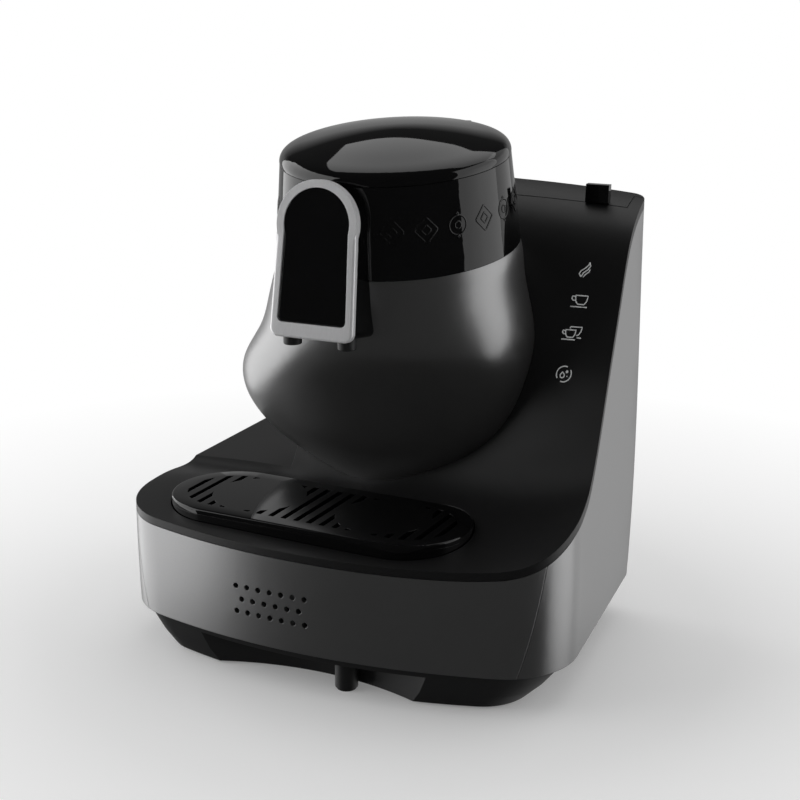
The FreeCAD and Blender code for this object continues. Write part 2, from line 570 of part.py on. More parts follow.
lid = on_lid(dome(OUTER, INNER))
SKIRT_R = SEAM_LID[3] - 6.1
skirt = on_lid(cyl(SKIRT_R, 5.6, 0, 0, -3.0).cut(cyl(SKIRT_R - 1.8, 20, 0, 0, -6.0)))
root_pts = [V(0, 0, 14.0), V(0, 0, -6), V(SKIRT_R + 3.4, 0, -6), V(SKIRT_R + 3.4, 0, 2.2), V(SKIRT_R - 0.6, 0, 5.6), V(0, 0, 14.0)]
skirt_root = on_lid(cyl(SKIRT_R, 9.0, 0, 0, 2.0).cut(cyl(SKIRT_R - 1.8, 20, 0, 0, -6.0))).common(on_lid(
    Part.Face(Part.makePolygon(root_pts)).revolve(V(0, 0, 0), V(0, 0, 1), 360)))
lid = lid.fuse(skirt).fuse(skirt_root)
knuckle = cyl(EAR_R - 0.6, 2 * (EAR_X - 0.3), -(EAR_X - 0.3), HINGE_Y, HINGE_Z, (1, 0, 0))
web = box(-(EAR_X - 0.3), EAR_X - 0.3, HINGE_Y - 8, HINGE_Y, HINGE_Z - 0.3, HINGE_Z + 2.2)
ear_space = None
for sx in (-1, 1):
    x0 = EAR_X * sx if sx > 0 else -EAR_X - EAR_W
    gap = cyl(EAR_R + 0.5, EAR_W + 0.6, x0 - 0.3, HINGE_Y, HINGE_Z, (1, 0, 0)).fuse(
        box(x0 - 0.3, x0 + EAR_W + 0.3, HINGE_Y - 5.0, HINGE_Y + 10, HINGE_Z - 12, HINGE_Z + EAR_R + 0.5))
    ear_space = gap if ear_space is None else ear_space.fuse(gap)
lid = lid.fuse(knuckle).fuse(web).cut(ear_space)
lid = lid.cut(cyl(HINGE_R + 0.05, 60, -30, HINGE_Y, HINGE_Z, (1, 0, 0)))
lid = max(lid.Solids, key=lambda s: s.Volume)
ears = None
for sx in (-1, 1):
    x0 = EAR_X if sx > 0 else -EAR_X - EAR_W
    e = cyl(EAR_R, EAR_W, x0, HINGE_Y, HINGE_Z, (1, 0, 0)).fuse(
        box(x0, x0 + EAR_W, HINGE_Y - 3.6, HINGE_Y + 3.6, HINGE_Z - 13, HINGE_Z))
    ears = e if ears is None else ears.fuse(e)
ears = ears.cut(BAND_IN).cut(cyl(HINGE_R, 60, -30, HINGE_Y, HINGE_Z, (1, 0, 0)))
band = band.fuse(ears).cut(cyl(EAR_R + 0.3, 2 * EAR_X, -EAR_X, HINGE_Y, HINGE_Z, (1, 0, 0)))
add("tower_band", band.removeSplitter())
add("chamber_collar", collar)
add("brew_lid", lid)
add("lid_hinge_pin", cyl(HINGE_R, 2 * (EAR_X + EAR_W), -(EAR_X + EAR_W), HINGE_Y, HINGE_Z, (1, 0, 0)))
seal = on_lid(cyl(SKIRT_R + 1.4, 2.4, 0, 0, -2.4).cut(cyl(SKIRT_R, 10, 0, 0, -4.0)))
add("lid_seal", seal)

# Drip tray
dpan = stadium(TRAY_HALF_L, TRAY_HALF_D, TRAY_FLOOR_Z, PAN_TOP_Z - TRAY_FLOOR_Z).cut(
    stadium(TRAY_HALF_L - 2.0, TRAY_HALF_D - 2.0, TRAY_FLOOR_Z + 2.0, 40))
add("drip_pan", dpan)
grille = stadium(TRAY_HALF_L, TRAY_HALF_D, PAN_TOP_Z, TRAY_TOP_Z - PAN_TOP_Z)
grille = grille.makeFillet(1.2, [e for e in grille.Edges if abs(e.BoundBox.ZMin - TRAY_TOP_Z) < 0.01])
grille = grille.fuse(stadium(TRAY_HALF_L - 2.4, TRAY_HALF_D - 2.4, PAN_TOP_Z - 3.0, 3.2).cut(
    stadium(TRAY_HALF_L - 4.4, TRAY_HALF_D - 4.4, PAN_TOP_Z - 4.0, 4.0)))
slots = []
limit = stadium(TRAY_HALF_L - 9.0, TRAY_HALF_D - 9.0, PAN_TOP_Z - 5.0, 20, 0, 0, 0)
discs = cyl(CUP_DISC_R, 30, -CUP_DISC_X, 2, PAN_TOP_Z - 8).fuse(cyl(CUP_DISC_R, 30, CUP_DISC_X, 2, PAN_TOP_Z - 8))
n_slots = int(2 * (TRAY_HALF_L - 12) / SLOT_PITCH)
for i in range(n_slots + 1):
    sx = (i - n_slots / 2) * SLOT_PITCH
    slots.append(box(sx - SLOT_W / 2, sx + SLOT_W / 2, -60, 60, PAN_TOP_Z - 4, PAN_TOP_Z + 10))
slots = Part.makeCompound(slots).common(limit).cut(discs)
slots.rotate(V(0, 0, 0), V(0, 0, 1), TRAY_TURN)
slots.translate(V(TRAY_X, TRAY_Y, 0))
keep = [s for s in slots.Solids if s.Volume > 60]
grille = grille.cut(Part.makeCompound(keep))
add("cup_grille", grille)

# Water tank with hinged lid, bay, valve
LID_CUT = top_cut(0, -TANK_LID_H)
TANK_CUT = top_cut(0, -TANK_LID_H - 0.3)
zone = back_slab(TANK_FLOOR_Z, 330.0, TANK_DEPTH, -60.0, TANK_LEFT_X)
whole = solid_top.common(zone)
beside = back_slab(0.0, 330.0, 60.0, 5.2, TANK_SIDE_X)
whole = whole.cut(beside)
tank = whole.cut(TANK_CUT)
hollow = body(-TANK_WALL).cut(TANK_CUT).common(
    back_slab(TANK_FLOOR_Z + TANK_WALL, 330.0, TANK_DEPTH - TANK_WALL, -60.0, TANK_LEFT_X + TANK_WALL, TANK_SIDE_X - TANK_WALL))
open_top = hollow.copy()
tank = tank.cut(open_top)
tlid = whole.common(LID_CUT)
TAB_X = (88.0, 102.0)
tab = back_slab(228.0, 253.5, TANK_DEPTH + 1.6, TANK_DEPTH - 3.0, TAB_X[0], TAB_X[1])
tab_body = tab.cut(box(-200, 200, -200, 200, 0, 243.0))
TPIN_Z, TPIN_R, TPIN_IN = 242.4, 1.2, 2.8
HEEL_ROOM = 3.6
TPIN_Y = back_y(TPIN_Z) - TPIN_IN
TEAR_X = (-48.0, 92.0)
ears = None
gaps = None
for ex in TEAR_X:
    e = cyl(2.3, 4.0, ex, TPIN_Y, TPIN_Z, (1, 0, 0)).fuse(box(ex, ex + 4.0, TPIN_Y - 2.2, TPIN_Y + 1.2, 231, TPIN_Z))
    g = cyl(3.1, 4.8, ex - 0.4, TPIN_Y, TPIN_Z, (1, 0, 0)).fuse(box(ex - 0.4, ex + 4.4, TPIN_Y - 3.1, TPIN_Y + 12, 228, TPIN_Z))
    ears = e if ears is None else ears.fuse(e)
    gaps = g if gaps is None else gaps.fuse(g)
tlid = tlid.cut(gaps)
# the lid's heel and lower front edge are trimmed so that it swings clear
heel = box(-200, 200, TPIN_Y, TPIN_Y + 20, TPIN_Z - 15, TPIN_Z).cut(cyl(2.5, 400, -200, TPIN_Y, TPIN_Z, (1, 0, 0)))
toe = box(-200, 200, TPIN_Y - 40, TPIN_Y - 10, TPIN_Z - 15, TPIN_Z).cut(
    cyl(TANK_DEPTH - TPIN_IN + 0.15, 400, -200, TPIN_Y, TPIN_Z, (1, 0, 0)))
tlid = tlid.cut(heel).cut(toe)
# past the tank's side the rim falls away: the tank carries the part below the pin
end_low = box(TANK_SIDE_X - TANK_WALL, 300, TPIN_Y - 10, TPIN_Y + 20, TPIN_Z - 15, TPIN_Z)
tlid = tlid.cut(end_low.cut(cyl(2.5, 400, -200, TPIN_Y, TPIN_Z, (1, 0, 0))))
tank = tank.fuse(whole.common(end_low)).cut(cyl(HEEL_ROOM, 400, -200, TPIN_Y, TPIN_Z, (1, 0, 0)))
for ex in TEAR_X:
    tlid = tlid.cut(cyl(TPIN_R + 0.05, 20, ex - 8, TPIN_Y, TPIN_Z, (1, 0, 0)))
under = body(-TANK_WALL - 2.0).common(top_cut(0, -TANK_LID_H - 1)).cut(top_cut(0, -3.0)).common(
    back_slab(TANK_FLOOR_Z, 330.0, TANK_DEPTH - 4.0, 8.5, TANK_LEFT_X + 4.0))
tlid = tlid.cut(under)
tlid = max(tlid.Solids, key=lambda s: s.Volume)
tank = tank.fuse(ears.common(BODY.cut(CUT)))
for ex in TEAR_X:
    tank = tank.cut(cyl(TPIN_R, 20, ex - 8, TPIN_Y, TPIN_Z, (1, 0, 0)))
VALVE_X, VALVE_R = 60.0, 6.0
VALVE_Y = back_y(TANK_FLOOR_Z) - TANK_DEPTH / 2
tank = tank.cut(cyl(VALVE_R, 10, VALVE_X, VALVE_Y, TANK_FLOOR_Z - 5))
tank = max(tank.Solids, key=lambda s: s.Volume)
add("water_tank", tank)
add("tank_lid", tlid)
add("tank_lid_tab", tab_body.cut(whole.common(LID_CUT)).cut(deck))
pins = [cyl(TPIN_R, 12.0, ex - 4.0, TPIN_Y, TPIN_Z, (1, 0, 0)) for ex in TEAR_X]
add("tank_lid_pins", Part.makeCompound(pins))
tv = cyl(VALVE_R, 4.0, VALVE_X, VALVE_Y, TANK_FLOOR_Z).fuse(cyl(3.0, 4.0, VALVE_X, VALVE_Y, TANK_FLOOR_Z + 3.0))
add("tank_valve", tv.removeSplitter())

BAY_T = 2.4
shelf = body(-SKIN - 0.05).common(back_slab(TANK_FLOOR_Z - 2.7, TANK_FLOOR_Z - 0.3, TANK_DEPTH + 3.0, 3.1, TANK_LEFT_X - 2.4, 112.0))
bay = body(-SKIN - 0.05).cut(top_cut(DECK_SKIN * 0.8 + 0.05, -DECK_SKIN - 0.05)).common(
    back_slab(TANK_FLOOR_Z - 2.7, 330.0, TANK_DEPTH + 3.0, TANK_DEPTH + 0.6, TANK_LEFT_X - 2.4, 112.0))
bay = bay.fuse(shelf).cut(placed(tower_solid))
bay = bay.cut(cyl(4.0, 20, VALVE_X, VALVE_Y, TANK_FLOOR_Z - 10))
bay = max(bay.Solids, key=lambda s: s.Volume)
add("tank_bay", bay.removeSplitter())
SOCKET_H = 9.0
socket = cyl(4.0, SOCKET_H, VALVE_X, VALVE_Y, TANK_FLOOR_Z - 9.3).cut(cyl(2.2, 20, VALVE_X, VALVE_Y, TANK_FLOOR_Z - 12))
add("tank_socket", socket)

# Rear switch, cord gland
ROCKER_X, ROCKER_Z = 84.0, 46.0
GLAND_X, GLAND_Z = 52.0, 34.0
ry = back_y(ROCKER_Z)
cut_out = leaned(box(ROCKER_X - 9, ROCKER_X + 9, -12, 12, -12, 12), ry, ROCKER_Z)
rear = rear.cut(cut_out)
gy = back_y(GLAND_Z)
rear = rear.cut(leaned(cyl(6.0, 20, GLAND_X, -10, 0, (0, 1, 0)), gy, GLAND_Z))
add("rear_cover", rear)
bezel = leaned(box(ROCKER_X - 9, ROCKER_X + 9, -13, 0, -12, 12).fuse(
    box(ROCKER_X - 11, ROCKER_X + 11, 0.0, 1.4, -14, 14)).cut(
    box(ROCKER_X - 7, ROCKER_X + 7, -11, 10, -10, 10)), ry, ROCKER_Z)
ROCKER_PIVOT = -3.0
ROCKER_TILT = 6.0
bezel = bezel.cut(leaned(cyl(1.3, 40, ROCKER_X - 20, ROCKER_PIVOT, 0, (1, 0, 0)), ry, ROCKER_Z))
add("switch_bezel", bezel.removeSplitter())
rock = Part.Face(Part.makePolygon([
    V(0, 2.6, -9.0), V(0, 0.4, 0), V(0, 2.6, 9.0), V(0, -4.5, 7.6), V(0, -6.5, 0), V(0, -4.5, -7.6), V(0, 2.6, -9.0)]))
rock = rock.extrude(V(13.6, 0, 0))
rock.translate(V(ROCKER_X - 6.8, 0, 0))
rock = rock.fuse(cyl(1.25, 17.0, ROCKER_X - 8.5, ROCKER_PIVOT, 0, (1, 0, 0)))
rock.rotate(V(0, ROCKER_PIVOT, 0), V(1, 0, 0), -ROCKER_TILT)
rock = leaned(rock, ry, ROCKER_Z)
add("power_rocker", rock.removeSplitter())
gland = leaned(cyl(6.0, 9, GLAND_X, -8, 0, (0, 1, 0)).fuse(cyl(8.0, 3.0, GLAND_X, 0, 0, (0, 1, 0))).fuse(
    cyl(8.0, 2.0, GLAND_X, -5.2, 0, (0, 1, 0))).cut(cyl(3.2, 40, GLAND_X, -20, 0, (0, 1, 0))), gy, GLAND_Z)
add("cord_gland", gland.cut(rear).removeSplitter())

# Inside the base: pump, hoses, boards, speaker
pump = cyl(PUMP[3], 44, PUMP[0], PUMP[1] - 22, PUMP[2], (0, 1, 0)).fuse(
    cyl(8.0, 12, PUMP[0], PUMP[1] + 22, PUMP[2], (0, 1, 0))).fuse(cyl(6.0, 9, PUMP[0], PUMP[1] - 31, PUMP[2], (0, 1, 0)))
add("pump", pump.removeSplitter())
HOSE_R = 4.0
feed = tube_path(((VALVE_X, VALVE_Y, TANK_FLOOR_Z - 9.3), (VALVE_X, VALVE_Y, 145), (VALVE_X, 68, 125), (VALVE_X + 2, 64, 60), (PUMP[0], PUMP[1] + 40, PUMP[2]), (PUMP[0], PUMP[1] + 34, PUMP[2])), HOSE_R)
feed = feed.cut(cyl(2.2, 12, VALVE_X, VALVE_Y, TANK_FLOOR_Z - 14)).cut(socket)
add("feed_hose", max(feed.Solids, key=lambda s: s.Volume))
board = box(BOARD[0], BOARD[1], BOARD[2], BOARD[3], BOARD[4], BOARD[4] + 1.6)
board = board.fuse(box(BOARD[0] + 10, BOARD[0] + 34, 4, 24, BOARD[4] + 1.6, BOARD[4] + 22)).fuse(
    cyl(5.0, 16, BOARD[1] - 14, 12, BOARD[4] + 1.6)).fuse(cyl(5.0, 16, BOARD[1] - 14, 26, BOARD[4] + 1.6))
add("main_board", board.removeSplitter())
spk = cyl(16.0, 12.0, SPEAKER_X, FRONT_Y - 2, SPEAKER_Z, (0, 1, 0)).fuse(
    cyl(10.0, 8.0, SPEAKER_X, FRONT_Y + 10, SPEAKER_Z, (0, 1, 0))).common(BODY_IN)
spk = spk.cut(cyl(13.0, 8.0, SPEAKER_X, FRONT_Y - 2, SPEAKER_Z, (0, 1, 0)))
add("speaker", spk.removeSplitter())
KEY_X = 101.0
plate = box(-9, 9, 0, 1.6, -31, 31)
bars = box(-9, 9, -14, 0.8, -30, -27).fuse(box(-9, 9, -14, 0.8, 27, 30))
touch = plate.fuse(bars)
touch.rotate(V(0, 0, 0), V(1, 0, 0), -33.3)
touch.translate(V(KEY_X, 29.5, 178.5))
touch = touch.common(solid_in)
touch = max(touch.Solids, key=lambda s: s.Volume)
add("touch_board", touch.removeSplitter())

TOWER_NODES = (
    "spout_frame", "spout_face", "spout_body", "spout_nozzles", "brew_chamber", "outlet_duct", "tower_shroud",
    "valve_coil", "outlet_valve", "valve_spring", "heater_plate", "temperature_sensor", "chamber_stand", "tower_back",
    "tower_band", "chamber_collar", "brew_lid", "lid_hinge_pin", "lid_seal")
for n, s in PARTS.items():
    bad = "" if s.isValid() else "INVALID"
    print(n, len(s.Solids), bad, round(s.Volume))
    s = placed(s) if n in TOWER_NODES else s.copy()
    s.translate(V(0, SHIFT_Y, SHIFT_Z))
    s.exportStep("parts/%s.step" % n)
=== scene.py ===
import json
import math
import bpy
import bmesh
from bpy.props import FloatProperty, FloatVectorProperty, IntProperty, PointerProperty
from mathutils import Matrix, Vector
from mathutils.bvhtree import BVHTree


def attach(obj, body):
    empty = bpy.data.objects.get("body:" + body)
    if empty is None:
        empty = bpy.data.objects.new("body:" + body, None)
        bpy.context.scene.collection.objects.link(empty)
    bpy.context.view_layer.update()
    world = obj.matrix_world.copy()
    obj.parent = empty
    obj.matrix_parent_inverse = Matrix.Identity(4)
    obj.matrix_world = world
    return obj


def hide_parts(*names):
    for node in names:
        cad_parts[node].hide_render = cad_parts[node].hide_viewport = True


bl_info = {
    "name": "Turkish coffee maker dressing",
    "version": (1, 0, 0),
    "blender": (4, 5, 0),
    "location": "View3D > Sidebar > Coffee maker",
    "description": "Dresses the packed frame of an electric Turkish coffee maker",
    "category": "Object",
}

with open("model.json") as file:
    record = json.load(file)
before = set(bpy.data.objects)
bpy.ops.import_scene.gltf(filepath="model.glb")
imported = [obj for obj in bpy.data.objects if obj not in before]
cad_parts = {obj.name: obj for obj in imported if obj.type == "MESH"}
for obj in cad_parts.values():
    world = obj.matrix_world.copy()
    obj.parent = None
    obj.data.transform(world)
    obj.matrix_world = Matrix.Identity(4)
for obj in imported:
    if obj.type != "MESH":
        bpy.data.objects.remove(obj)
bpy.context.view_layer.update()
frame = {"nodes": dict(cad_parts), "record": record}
NODE_BODY = {n: b for b, names in frame["record"]["behaviour"]["bodies"].items() for n in names}
NODE_SLOT = {s["node"]: s["material_slot"] for s in frame["record"]["subparts"]}

# Tower figures shared with the solids, in metres
TOWER_X = 0.003
TOWER_Y = 0.0085
BAND_LOW = (TOWER_Y - 0.0014, 0.2309, 0.0690)
BAND_HIGH = (TOWER_Y - 0.0055, 0.2797, 0.0643)
BAND_TILT = math.atan(0.135)

# The spout's middle, and half the width of the band that it covers
SPOUT_X = -0.0067
SPOUT_COVER = 0.026

# Camera: angle, distance and aim in metres, and focal length in picture widths
AZIMUTH, ELEVATION = math.radians(23.9), math.radians(16.45)
CAMERA_DISTANCE = 0.940
CAMERA_AIM = (0.0034, 0.0085, 0.1368)
SENSOR_WIDTH = 36.0
FOCAL_WIDTHS = 1614.0 / 800.0
TOWARDS = Vector((
    math.sin(AZIMUTH) * math.cos(ELEVATION),
    -math.cos(AZIMUTH) * math.cos(ELEVATION),
    math.sin(ELEVATION)))

# Corners sharper than this stay crisp, in degrees
CREASE = 26.0
SPOUT_CREASE = 32.0
WELD = 2e-6

# Middle of each touch symbol on the back wall, in metres
SYMBOL_PLACES = {
    "symbol_steam": (0.1010, 0.0470, 0.2150),
    "symbol_cup": (0.1010, 0.0380, 0.1985),
    "symbol_two_cups": (0.1002, 0.0270, 0.1820),
    "symbol_clean": (0.1013, 0.0125, 0.1625),
}

# Floor: its radius, where it starts to fade to white and how fast, in metres
FLOOR_RADIUS = 2.6
FADE_FROM, FADE_RATE = 0.20, 3.0
FLOOR_LIFT = 0.16

# Soft panels: azimuth in degrees (0 front, 90 right), height, distance, width, tall
SOFT_LEFT = (-80.0, 0.30, 1.15, 1.90, 1.80)
SOFT_RIGHT = (110.0, 0.30, 1.15, 1.10, 1.80)
SOFT_REAR = (152.0, 0.30, 1.15, 0.70, 1.80)
SOFT_TOP = (180.0, 1.15, 0.60, 1.30, 0.70)
PANEL_AIM = 0.12


# ---------------------------------------------------------------- shader and geometry maths

class Val:
    """A socket that can be used in a Python expression."""

    def __init__(self, graph, socket):
        self.graph, self.socket = graph, socket

    def _math(self, operation, a, b=None):
        inputs = {0: a} if b is None else {0: a, 1: b}
        return self.graph.value("ShaderNodeMath", {"operation": operation}, inputs)

    def __add__(self, other): return self._math("ADD", self, other)
    def __radd__(self, other): return self._math("ADD", other, self)
    def __sub__(self, other): return self._math("SUBTRACT", self, other)
    def __rsub__(self, other): return self._math("SUBTRACT", other, self)
    def __mul__(self, other): return self._math("MULTIPLY", self, other)
    def __rmul__(self, other): return self._math("MULTIPLY", other, self)
    def __truediv__(self, other): return self._math("DIVIDE", self, other)
    def __rtruediv__(self, other): return self._math("DIVIDE", other, self)
    def __neg__(self): return self._math("MULTIPLY", self, -1.0)
    def sin(self): return self._math("SINE", self)
    def cos(self): return self._math("COSINE", self)

    def clamp(self, lo=0.0, hi=1.0):
        return self.graph.value("ShaderNodeClamp", {}, {"Value": self, "Min": lo, "Max": hi})


class Graph:
    """Builds one node tree; every node comes from node()."""

    def __init__(self, tree):
        self.tree = tree

    def node(self, kind, settings=None, inputs=None):
        made = self.tree.nodes.new(kind)
        for key, setting in (settings or {}).items():
            if key == "stops":
                ramp = made.color_ramp
                while len(ramp.elements) < len(setting):
                    ramp.elements.new(1.0)
                for stop, (place, grey) in zip(ramp.elements, setting):
                    stop.position = place
                    stop.color = (grey, grey, grey, 1.0)
            else:
                setattr(made, key, setting)
        for key, given in (inputs or {}).items():
            self.feed(made.inputs[key], given)
        return made

    def feed(self, socket, given):
        if isinstance(given, Val):
            given = given.socket
        if isinstance(given, bpy.types.NodeSocket):
            self.tree.links.new(given, socket)
        else:
            socket.default_value = given

    def value(self, kind, settings=None, inputs=None, output=0):
        return Val(self, self.node(kind, settings, inputs).outputs[output])


class Finish(Graph):
    """A procedural finish on one Principled shader."""

    def __init__(self, name, **constants):
        self.material = bpy.data.materials.new(name)
        self.material.use_nodes = True
        super().__init__(self.material.node_tree)
        self.tree.nodes.clear()
        self.shader = self.node("ShaderNodeBsdfPrincipled")
        out = self.node("ShaderNodeOutputMaterial")
        self.tree.links.new(self.shader.outputs[0], out.inputs["Surface"])
        self.place = self.node("ShaderNodeTexCoord").outputs["Object"]
        for key, given in constants.items():
            self.shader.inputs[key.replace("_", " ")].default_value = given

    def set(self, key, given):
        self.feed(self.shader.inputs[key], given)

    def noise(self, size, detail=2.0, rough=0.5, stretch=None):
        place = self.place
        if stretch:
            place = self.node("ShaderNodeMapping", None, {"Vector": place, "Scale": stretch}).outputs[0]
        return self.value("ShaderNodeTexNoise", None, {
            "Vector": place, "Scale": 1.0 / size, "Detail": detail, "Roughness": rough})

    def tone(self, mask, low, high):
        """Colour between low and high by a mask."""
        mix = self.node("ShaderNodeMix", {"data_type": "RGBA"})
        self.feed(mix.inputs["Factor"], mask)
        colour = [i for i in mix.inputs if i.type == "RGBA"]
        colour[0].default_value = (*low, 1.0)
        colour[1].default_value = (*high, 1.0)
        self.set("Base Color", [o for o in mix.outputs if o.type == "RGBA"][0])

    def relief(self, height, strength, depth, edge=0.0):
        """Bump from a height, over corners rounded by edge metres."""
        inputs = {"Height": height, "Strength": strength, "Distance": depth}
        if edge:
            inputs["Normal"] = self.node("ShaderNodeBevel", {"samples": 4}, {"Radius": edge}).outputs[0]
        self.set("Normal", self.node("ShaderNodeBump", None, inputs).outputs[0])


def scaled(colour, k):
    return tuple(min(1.0, c * k) for c in colour)


def satin_metal_paint(colours):
    """Dark grey metallic paint: fine flake, faint cloudiness, soft orange peel."""
    f = Finish("dark_metal", Metallic=0.92, IOR=1.5)
    flake = f.noise(0.00035, 3.0)
    cloud = f.noise(0.03, 2.0)
    f.tone((flake * 0.7 + cloud * 0.3).clamp(), scaled(colours.metal, 0.86), scaled(colours.metal, 1.14))
    f.set("Roughness", flake * 0.05 + cloud * 0.03 + 0.27)
    f.relief(flake * 0.5 + f.noise(0.0018) * 0.5, 0.06, 0.00004, 0.0004)
    return f.material


def satin_black(colours):
    """Soft satin black with a fine moulded grain."""
    f = Finish("black_satin", IOR=1.47)
    grain = f.noise(0.00045, 3.0, 0.6)
    cloud = f.noise(0.04)
    f.tone(grain, scaled(colours.satin, 0.75), scaled(colours.satin, 1.25))
    f.set("Roughness", grain * 0.06 + cloud * 0.04 + 0.36)
    f.relief(grain, 0.10, 0.00005, 0.0005)
    return f.material


def gloss_black(colours):
    """Piano black: near-mirror face with the faintest haze."""
    f = Finish("black_gloss", IOR=1.5)
    haze = f.noise(0.02, 3.0)
    f.tone(haze, scaled(colours.gloss, 0.7), scaled(colours.gloss, 1.3))
    f.set("Roughness", haze * 0.025 + 0.02)
    f.relief(f.noise(0.012), 0.03, 0.00003, 0.00035)
    return f.material


def grained_plastic(name, colour, rough, grain_size, depth):
    """Moulded plastic with a spark-eroded grain."""
    f = Finish(name, IOR=1.47)
    grain = f.noise(grain_size, 4.0, 0.6)
    f.tone(grain, scaled(colour, 0.7), scaled(colour, 1.3))
    f.set("Roughness", grain * 0.12 + rough)
    f.relief(grain, 0.2, depth, 0.0004)
    return f.material


def satin_chrome():
    """Satin plated frame with a trace of polishing lines."""
    f = Finish("silver", Metallic=0.45)
    lines = f.noise(0.0008, 3.0, 0.5, (1.0, 1.0, 0.12))
    f.tone(lines, (0.74, 0.74, 0.75), (0.84, 0.84, 0.85))
    f.set("Roughness", lines * 0.06 + 0.33)
    f.relief(lines, 0.04, 0.00003, 0.0003)
    return f.material


def brushed(name, low, high, rough, stretch):
    """Brushed or spun metal."""
    f = Finish(name, Metallic=1.0)
    lines = f.noise(0.0004, 4.0, 0.6, stretch)
    f.tone(lines, low, high)
    f.set("Roughness", lines * 0.14 + rough)
    f.relief(lines, 0.12, 0.00004, 0.0003)
    return f.material


def soft_rubber(name, low, high, rough):
    """Matt rubber or silicone with a dusty bloom."""
    f = Finish(name, IOR=1.45)
    bloom = f.noise(0.0012, 4.0, 0.6)
    f.tone(bloom, low, high)
    f.set("Roughness", bloom * 0.15 + rough)
    f.relief(bloom, 0.15, 0.00006, 0.0003)
    return f.material


def wound_copper():
    """Lacquered winding: fine turns along the coil."""
    f = Finish("copper_coil", Metallic=0.9)
    wave = f.value("ShaderNodeTexWave", {"wave_type": "BANDS", "bands_direction": "Y"}, {
        "Vector": f.place, "Scale": 500.0, "Distortion": 0.3}, "Fac")
    f.tone(wave, (0.30, 0.11, 0.05), (0.72, 0.34, 0.15))
    f.set("Roughness", wave * 0.1 + 0.25)
    f.relief(wave, 0.5, 0.0002)
    return f.material


def smoked_tank():
    """Smoked tank plastic, nearly opaque, with slight flow lines."""
    f = Finish("tank_smoke", IOR=1.5)
    flow = f.noise(0.02, 3.0, 0.5, (1.0, 1.0, 0.25))
    f.tone(flow, (0.016, 0.017, 0.018), (0.034, 0.035, 0.037))
    f.set("Roughness", flow * 0.05 + 0.13)
    f.relief(flow, 0.05, 0.00008, 0.0004)
    return f.material


def solder_mask():
    """Circuit board: green mask over a web of tracks."""
    f = Finish("circuit", IOR=1.5)
    tracks = f.value("ShaderNodeTexBrick", {"offset": 0.5}, {
        "Vector": f.place, "Scale": 260.0, "Mortar Size": 0.04}, "Fac")
    f.tone(tracks, (0.012, 0.10, 0.045), (0.05, 0.30, 0.14))
    f.set("Roughness", tracks * -0.1 + 0.4)
    f.relief(tracks, 0.3, 0.00005)
    return f.material


def printed_white(colour, painted_glow):
    """Pale printed symbol with a faint painted glow; nothing lights it from behind."""
    f = Finish("symbol_print", IOR=1.45)
    speck = f.noise(0.0003, 2.0)
    f.tone(speck, scaled(colour, 0.9), colour)
    f.set("Roughness", speck * 0.1 + 0.4)
    # painted glow: the print shines by itself at a low strength in its own colour, though the symbols hold no
    # lamp
    f.shader.inputs["Emission Color"].default_value = (*colour, 1.0)
    f.shader.inputs["Emission Strength"].default_value = painted_glow
    return f.material


def finishes():
    """Every slot's finish, made once."""
    if "dark_metal" in bpy.data.materials and bpy.data.materials["dark_metal"].get("made_here"):
        return {m.name: m for m in bpy.data.materials if m.get("made_here")}
    for old in list(bpy.data.materials):
        old.name = "packed_" + old.name
    colours = bpy.context.scene.maker_colours
    made = [
        satin_metal_paint(colours),
        satin_black(colours),
        gloss_black(colours),
        grained_plastic("black_plastic", (0.014, 0.014, 0.0145), 0.42, 0.0006, 0.0001),
        satin_chrome(),
        brushed("steel", (0.48, 0.48, 0.48), (0.68, 0.68, 0.67), 0.2, (1.0, 1.0, 0.06)),
        brushed("aluminium", (0.55, 0.56, 0.57), (0.75, 0.75, 0.76), 0.32, (1.0, 1.0, 1.0)),
        soft_rubber("rubber", (0.012, 0.012, 0.012), (0.03, 0.03, 0.03), 0.62),
        soft_rubber("silicone", (0.26, 0.26, 0.27), (0.40, 0.40, 0.41), 0.45),
        soft_rubber("clear_silicone", (0.62, 0.62, 0.60), (0.78, 0.78, 0.76), 0.25),
        wound_copper(),
        smoked_tank(),
        solder_mask(),
        # the second figure is the strength of the painted glow on the printed symbols
        printed_white(tuple(colours.symbol), 0.12),
    ]
    for material in made:
        material["made_here"] = True
    return {m.name: m for m in made}


# ---------------------------------------------------------------- mesh helpers

def link(name, mesh):
    piece = bpy.data.objects.new(name, mesh)
    bpy.context.scene.collection.objects.link(piece)
    return piece


def ready(piece, body, slot, finish=None):
    """Gives a piece its finish, and lets it ride on its body."""
    piece.data.materials.clear()
    piece.data.materials.append(finishes()[finish or slot])
    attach(piece, body)
    return piece


def smooth_skin(node, crease=CREASE):
    """A CAD node's own shape as a welded, smooth-shaded piece with crisp corners."""
    source = frame["nodes"][node].data
    welded = bmesh.new()
    corners = [welded.verts.new(v.co) for v in source.vertices]
    for face in source.polygons:
        welded.faces.new([corners[i] for i in face.vertices])
    bmesh.ops.remove_doubles(welded, verts=welded.verts, dist=WELD)
    bmesh.ops.dissolve_degenerate(welded, edges=welded.edges, dist=1e-6)
    mesh = bpy.data.meshes.new(node + "_skin")
    welded.to_mesh(mesh)
    welded.free()
    mesh.shade_smooth()
    mesh.set_sharp_from_angle(angle=math.radians(crease))
    piece = link(node + "_skin", mesh)
    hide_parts(node)
    return ready(piece, NODE_BODY[node], NODE_SLOT[node])


def plain_node(node):
    """A CAD node that stays as it is, with its procedural finish."""
    mesh = frame["nodes"][node].data
    mesh.materials.clear()
    mesh.materials.append(finishes()[NODE_SLOT[node]])


